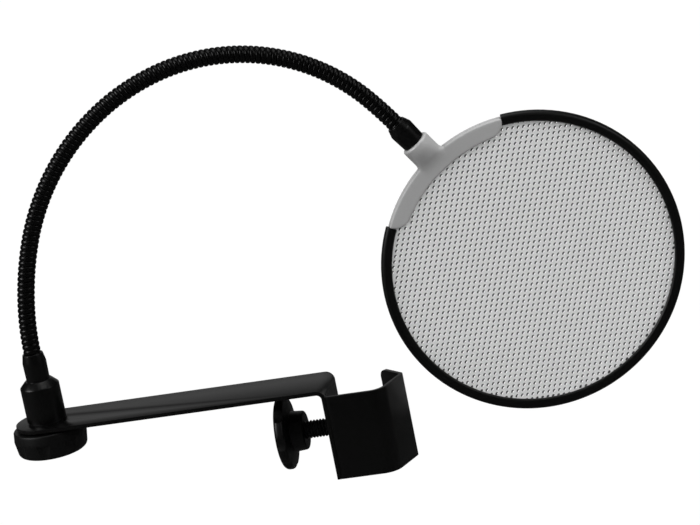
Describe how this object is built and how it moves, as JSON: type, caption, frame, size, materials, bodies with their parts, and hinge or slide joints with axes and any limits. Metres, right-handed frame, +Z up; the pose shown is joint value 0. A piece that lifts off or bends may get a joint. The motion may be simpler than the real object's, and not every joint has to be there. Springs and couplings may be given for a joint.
{
  "type": "microphone pop filter",
  "caption": "Round metal-mesh pop filter in a black edging, on a gooseneck that stands on a flat steel bar with a screw clamp for a stand.",
  "frame": {"origin": "axis of a 20 mm stand tube lying in the jaw's V, at the middle of the jaw's height", "axes": "+Z up along the stand tube; +X from the gooseneck's base towards the clamp; +Y towards the jaw's open side"},
  "size_m": [0.343, 0.112, 0.2215],
  "materials": {
    "bracket_coat": "semi-gloss black powder coat on sheet steel",
    "black_zinc": "black zinc plated steel",
    "knob_plastic": "black moulded nylon, fine texture",
    "plain_steel": "bright zinc plated steel",
    "pad_rubber": "black rubber",
    "nylon": "black nylon",
    "socket_paint": "satin black enamel on turned steel",
    "ferrule_paint": "satin black enamel on turned steel",
    "neck_wire": "gloss black enamel on coiled steel wire",
    "yoke_silver": "satin silver finish on die-cast metal",
    "mesh_metal": "bright raised metal mesh",
    "edging_rubber": "smooth black rubber"
  },
  "bodies": {
    "bracket": {"bracket": "bracket_coat"},
    "clamp_foot": {"pad_cup": "plain_steel", "pad_face": "pad_rubber"},
    "clamp_screw": {"clamp_screw": "black_zinc", "clamp_knob": "knob_plastic"},
    "neck_base": {"base_socket": "socket_paint", "base_stud": "black_zinc", "base_set_screw": "black_zinc", "swivel_washer": "nylon", "lower_ferrule": "ferrule_paint", "neck_root": "neck_wire"},
    "base_washer": {"base_washer": "nylon"},
    "base_knob": {"base_knob": "knob_plastic", "base_knob_nut": "plain_steel"},
    "neck_1": {"neck_link_1": "neck_wire"},
    "neck_2": {"neck_link_2": "neck_wire"},
    "neck_3": {"neck_link_3": "neck_wire"},
    "neck_4": {"neck_link_4": "neck_wire"},
    "neck_5": {"neck_link_5": "neck_wire"},
    "neck_6": {"neck_link_6": "neck_wire"},
    "neck_7": {"neck_link_7": "neck_wire"},
    "screen": {"neck_tip": "neck_wire", "upper_ferrule": "ferrule_paint", "collar_set_screw": "black_zinc", "yoke": "yoke_silver", "yoke_back": "yoke_silver", "yoke_screws": "plain_steel", "mesh_screen": "mesh_metal", "screen_hoop": "plain_steel", "rubber_edging": "edging_rubber"}
  },
  "joints": [
    {"name": "clamp_travel", "type": "slide", "parent": "bracket", "child": "clamp_foot", "axis": [1, 0, 0], "range_m": [-0.0009, 0.0135]},
    {"name": "clamp_turn", "type": "hinge", "parent": "clamp_foot", "child": "clamp_screw", "pos_m": [-0.02294, 0, 0], "axis": [1, 0, 0], "range_deg": [-206, 3064]},
    {"name": "neck_swivel", "type": "hinge", "parent": "bracket", "child": "neck_base", "pos_m": [-0.16974, -0.00426, 0.0253], "axis": [0, 0, 1], "range_deg": [-9, 180]},
    {"name": "base_knob_travel", "type": "slide", "parent": "neck_base", "child": "base_washer", "axis": [0, 0, 1], "range_m": [-0.0026, 0]},
    {"name": "base_knob_turn", "type": "hinge", "parent": "base_washer", "child": "base_knob", "pos_m": [-0.16974, -0.00426, 0.0253], "axis": [0, 0, 1], "range_deg": [-592, 0]},
    {"name": "neck_bend_1", "type": "hinge", "parent": "neck_base", "child": "neck_1", "pos_m": [-0.16853, -0.00392, 0.07994], "axis": [0.2706, -0.9627, 0], "range_deg": [-24, 24]},
    {"name": "neck_bend_2", "type": "hinge", "parent": "neck_1", "child": "neck_2", "pos_m": [-0.15976, -0.00146, 0.11634], "axis": [-0.9023, -0.2536, 0.3486], "range_deg": [-24, 24]},
    {"name": "neck_bend_3", "type": "hinge", "parent": "neck_2", "child": "neck_3", "pos_m": [-0.14203, 0.00353, 0.14895], "axis": [-0.2706, 0.9627, 0], "range_deg": [-24, 24]},
    {"name": "neck_bend_4", "type": "hinge", "parent": "neck_3", "child": "neck_4", "pos_m": [-0.11534, 0.01103, 0.17409], "axis": [0.5229, 0.147, -0.8396], "range_deg": [-24, 24]},
    {"name": "neck_bend_5", "type": "hinge", "parent": "neck_4", "child": "neck_5", "pos_m": [-0.08214, 0.02036, 0.18859], "axis": [0.2706, -0.9627, 0], "range_deg": [-24, 24]},
    {"name": "neck_bend_6", "type": "hinge", "parent": "neck_5", "child": "neck_6", "pos_m": [-0.04618, 0.03047, 0.18976], "axis": [0.1523, 0.0428, 0.9874], "range_deg": [-24, 24]},
    {"name": "neck_bend_7", "type": "hinge", "parent": "neck_6", "child": "neck_7", "pos_m": [-0.01234, 0.03998, 0.17704], "axis": [-0.2706, 0.9627, 0], "range_deg": [-24, 24]},
    {"name": "neck_bend_8", "type": "hinge", "parent": "neck_7", "child": "screen", "pos_m": [0.01472, 0.04759, 0.15239], "axis": [-0.7565, -0.2127, -0.6184], "range_deg": [-24, 24]}
  ],
  "couplings": [
    {"joint": "clamp_turn", "follows": "clamp_travel", "rad_per_m": 3957.9},
    {"joint": "base_knob_turn", "follows": "base_knob_travel", "rad_per_m": 3957.9}
  ]
}
